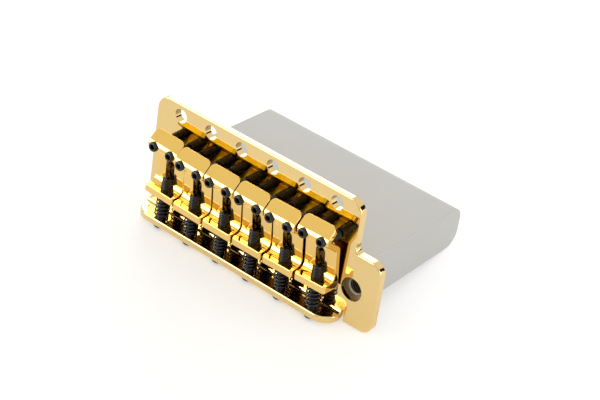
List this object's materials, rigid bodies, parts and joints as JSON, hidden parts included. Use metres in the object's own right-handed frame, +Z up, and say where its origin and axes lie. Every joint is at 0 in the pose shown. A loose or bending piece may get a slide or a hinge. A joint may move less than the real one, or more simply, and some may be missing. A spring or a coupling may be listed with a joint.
{
  "type": "guitar tremolo bridge",
  "caption": "Guitar tremolo bridge: gold bent-sheet plate with pivot holes and arm tab, sprung saddles on intonation and height screws, and a grey sustain block.",
  "frame": {"origin": "bottom centre of the overall box, as the bridge lies on its back", "axes": "+X along the row of saddles towards the arm side, +Z up; the plate's top face looks towards -Y and the block runs back towards +Y"},
  "size_m": [0.082, 0.0534, 0.0369],
  "materials": {
    "gold_plate": "mirror-polished gold plating",
    "gold_saddle": "mirror-polished gold plating",
    "grey_block": "smooth matt grey paint on zinc",
    "plain_steel": "plain steel",
    "black_screw": "black oxide",
    "black_spring": "black oxide"
  },
  "bodies": {
    "base": {"base_plate": "gold_plate", "tremolo_block": "grey_block", "block_screws": "plain_steel"},
    "carriage_1": {"intonation_spring_1": "black_spring"},
    "screw_1": {"intonation_screw_1": "black_screw"},
    "saddle_1": {"saddle_1": "gold_saddle"},
    "height_screw_1_bass": {"height_screw_1_bass": "black_screw"},
    "height_screw_1_treble": {"height_screw_1_treble": "black_screw"},
    "carriage_2": {"intonation_spring_2": "black_spring"},
    "screw_2": {"intonation_screw_2": "black_screw"},
    "saddle_2": {"saddle_2": "gold_saddle"},
    "height_screw_2_bass": {"height_screw_2_bass": "black_screw"},
    "height_screw_2_treble": {"height_screw_2_treble": "black_screw"},
    "carriage_3": {"intonation_spring_3": "black_spring"},
    "screw_3": {"intonation_screw_3": "black_screw"},
    "saddle_3": {"saddle_3": "gold_saddle"},
    "height_screw_3_bass": {"height_screw_3_bass": "black_screw"},
    "height_screw_3_treble": {"height_screw_3_treble": "black_screw"},
    "carriage_4": {"intonation_spring_4": "black_spring"},
    "screw_4": {"intonation_screw_4": "black_screw"},
    "saddle_4": {"saddle_4": "gold_saddle"},
    "height_screw_4_bass": {"height_screw_4_bass": "black_screw"},
    "height_screw_4_treble": {"height_screw_4_treble": "black_screw"},
    "carriage_5": {"intonation_spring_5": "black_spring"},
    "screw_5": {"intonation_screw_5": "black_screw"},
    "saddle_5": {"saddle_5": "gold_saddle"},
    "height_screw_5_bass": {"height_screw_5_bass": "black_screw"},
    "height_screw_5_treble": {"height_screw_5_treble": "black_screw"},
    "carriage_6": {"intonation_spring_6": "black_spring"},
    "screw_6": {"intonation_screw_6": "black_screw"},
    "saddle_6": {"saddle_6": "gold_saddle"},
    "height_screw_6_bass": {"height_screw_6_bass": "black_screw"},
    "height_screw_6_treble": {"height_screw_6_treble": "black_screw"}
  },
  "joints": [
    {"name": "saddle_height_1", "type": "hinge", "parent": "base", "child": "carriage_1", "pos_m": [-0.03225, -0.02438, 0.00234], "axis": [0.9993, -0.0079, -0.0368], "range_deg": [-0.3, 4]},
    {"name": "intonation_turn_1", "type": "hinge", "parent": "carriage_1", "child": "screw_1", "pos_m": [-0.03225, -0.02438, 0.00234], "axis": [0.0376, 0.2443, 0.969], "range_deg": [-2525, 1805]},
    {"name": "intonation_travel_1", "type": "slide", "parent": "carriage_1", "child": "saddle_1", "axis": [0.0376, 0.2443, 0.969], "range_m": [-0.0025, 0.0035], "deforming": ["intonation_spring_1"]},
    {"name": "height_travel_1_bass", "type": "slide", "parent": "saddle_1", "child": "height_screw_1_bass", "axis": [0.0013, -0.9697, 0.2444], "range_m": [-0.00172, 0.00015]},
    {"name": "height_travel_1_treble", "type": "slide", "parent": "saddle_1", "child": "height_screw_1_treble", "axis": [0.0013, -0.9697, 0.2444], "range_m": [-0.00172, 0.00015]},
    {"name": "saddle_height_2", "type": "hinge", "parent": "base", "child": "carriage_2", "pos_m": [-0.02105, -0.02438, 0.00234], "axis": [0.9997, -0.0048, -0.0221], "range_deg": [-2, 2.5]},
    {"name": "intonation_turn_2", "type": "hinge", "parent": "carriage_2", "child": "screw_2", "pos_m": [-0.02105, -0.02438, 0.00234], "axis": [0.0226, 0.2104, 0.9774], "range_deg": [-2525, 1805]},
    {"name": "intonation_travel_2", "type": "slide", "parent": "carriage_2", "child": "saddle_2", "axis": [0.0226, 0.2104, 0.9774], "range_m": [-0.0025, 0.0035], "deforming": ["intonation_spring_2"]},
    {"name": "height_travel_2_bass", "type": "slide", "parent": "saddle_2", "child": "height_screw_2_bass", "axis": [0, -0.9776, 0.2104], "range_m": [-0.00106, 0.00085]},
    {"name": "height_travel_2_treble", "type": "slide", "parent": "saddle_2", "child": "height_screw_2_treble", "axis": [0, -0.9776, 0.2104], "range_m": [-0.00106, 0.00085]},
    {"name": "saddle_height_3", "type": "hinge", "parent": "base", "child": "carriage_3", "pos_m": [-0.00985, -0.02438, 0.00234], "axis": [1, -0.0016, -0.0074], "range_deg": [-2, 2.5]},
    {"name": "intonation_turn_3", "type": "hinge", "parent": "carriage_3", "child": "screw_3", "pos_m": [-0.00985, -0.02438, 0.00234], "axis": [0.0075, 0.2104, 0.9776], "range_deg": [-2525, 1805]},
    {"name": "intonation_travel_3", "type": "slide", "parent": "carriage_3", "child": "saddle_3", "axis": [0.0075, 0.2104, 0.9776], "range_m": [-0.0025, 0.0035], "deforming": ["intonation_spring_3"]},
    {"name": "height_travel_3_bass", "type": "slide", "parent": "saddle_3", "child": "height_screw_3_bass", "axis": [0, -0.9776, 0.2104], "range_m": [-0.00106, 0.00085]},
    {"name": "height_travel_3_treble", "type": "slide", "parent": "saddle_3", "child": "height_screw_3_treble", "axis": [0, -0.9776, 0.2104], "range_m": [-0.00106, 0.00085]},
    {"name": "saddle_height_4", "type": "hinge", "parent": "base", "child": "carriage_4", "pos_m": [0.00135, -0.02438, 0.00234], "axis": [1, 0.0016, 0.0074], "range_deg": [-2, 2.5]},
    {"name": "intonation_turn_4", "type": "hinge", "parent": "carriage_4", "child": "screw_4", "pos_m": [0.00135, -0.02438, 0.00234], "axis": [-0.0075, 0.2104, 0.9776], "range_deg": [-2525, 1805]},
    {"name": "intonation_travel_4", "type": "slide", "parent": "carriage_4", "child": "saddle_4", "axis": [-0.0075, 0.2104, 0.9776], "range_m": [-0.0025, 0.0035], "deforming": ["intonation_spring_4"]},
    {"name": "height_travel_4_bass", "type": "slide", "parent": "saddle_4", "child": "height_screw_4_bass", "axis": [0, -0.9776, 0.2104], "range_m": [-0.00106, 0.00085]},
    {"name": "height_travel_4_treble", "type": "slide", "parent": "saddle_4", "child": "height_screw_4_treble", "axis": [0, -0.9776, 0.2104], "range_m": [-0.00106, 0.00085]},
    {"name": "saddle_height_5", "type": "hinge", "parent": "base", "child": "carriage_5", "pos_m": [0.01255, -0.02438, 0.00234], "axis": [0.9997, 0.0048, 0.0221], "range_deg": [-2, 2.5]},
    {"name": "intonation_turn_5", "type": "hinge", "parent": "carriage_5", "child": "screw_5", "pos_m": [0.01255, -0.02438, 0.00234], "axis": [-0.0226, 0.2104, 0.9774], "range_deg": [-2525, 1805]},
    {"name": "intonation_travel_5", "type": "slide", "parent": "carriage_5", "child": "saddle_5", "axis": [-0.0226, 0.2104, 0.9774], "range_m": [-0.0025, 0.0035], "deforming": ["intonation_spring_5"]},
    {"name": "height_travel_5_bass", "type": "slide", "parent": "saddle_5", "child": "height_screw_5_bass", "axis": [0, -0.9776, 0.2104], "range_m": [-0.00106, 0.00085]},
    {"name": "height_travel_5_treble", "type": "slide", "parent": "saddle_5", "child": "height_screw_5_treble", "axis": [0, -0.9776, 0.2104], "range_m": [-0.00106, 0.00085]},
    {"name": "saddle_height_6", "type": "hinge", "parent": "base", "child": "carriage_6", "pos_m": [0.02375, -0.02438, 0.00234], "axis": [0.9993, 0.0079, 0.0368], "range_deg": [-0.3, 4]},
    {"name": "intonation_turn_6", "type": "hinge", "parent": "carriage_6", "child": "screw_6", "pos_m": [0.02375, -0.02438, 0.00234], "axis": [-0.0376, 0.2443, 0.969], "range_deg": [-2525, 1805]},
    {"name": "intonation_travel_6", "type": "slide", "parent": "carriage_6", "child": "saddle_6", "axis": [-0.0376, 0.2443, 0.969], "range_m": [-0.0025, 0.0035], "deforming": ["intonation_spring_6"]},
    {"name": "height_travel_6_bass", "type": "slide", "parent": "saddle_6", "child": "height_screw_6_bass", "axis": [-0.0013, -0.9697, 0.2444], "range_m": [-0.00172, 0.00015]},
    {"name": "height_travel_6_treble", "type": "slide", "parent": "saddle_6", "child": "height_screw_6_treble", "axis": [-0.0013, -0.9697, 0.2444], "range_m": [-0.00172, 0.00015]}
  ],
  "couplings": [
    {"joint": "intonation_turn_1", "follows": "intonation_travel_1", "rad_per_m": -12566},
    {"joint": "height_travel_1_bass", "follows": "saddle_height_1", "m_per_rad": -0.0243},
    {"joint": "height_travel_1_treble", "follows": "saddle_height_1", "m_per_rad": -0.0243},
    {"joint": "intonation_turn_2", "follows": "intonation_travel_2", "rad_per_m": -12566},
    {"joint": "height_travel_2_bass", "follows": "saddle_height_2", "m_per_rad": -0.0239},
    {"joint": "height_travel_2_treble", "follows": "saddle_height_2", "m_per_rad": -0.0239},
    {"joint": "intonation_turn_3", "follows": "intonation_travel_3", "rad_per_m": -12566},
    {"joint": "height_travel_3_bass", "follows": "saddle_height_3", "m_per_rad": -0.0239},
    {"joint": "height_travel_3_treble", "follows": "saddle_height_3", "m_per_rad": -0.0239},
    {"joint": "intonation_turn_4", "follows": "intonation_travel_4", "rad_per_m": -12566},
    {"joint": "height_travel_4_bass", "follows": "saddle_height_4", "m_per_rad": -0.0239},
    {"joint": "height_travel_4_treble", "follows": "saddle_height_4", "m_per_rad": -0.0239},
    {"joint": "intonation_turn_5", "follows": "intonation_travel_5", "rad_per_m": -12566},
    {"joint": "height_travel_5_bass", "follows": "saddle_height_5", "m_per_rad": -0.0239},
    {"joint": "height_travel_5_treble", "follows": "saddle_height_5", "m_per_rad": -0.0239},
    {"joint": "intonation_turn_6", "follows": "intonation_travel_6", "rad_per_m": -12566},
    {"joint": "height_travel_6_bass", "follows": "saddle_height_6", "m_per_rad": -0.0243},
    {"joint": "height_travel_6_treble", "follows": "saddle_height_6", "m_per_rad": -0.0243}
  ]
}
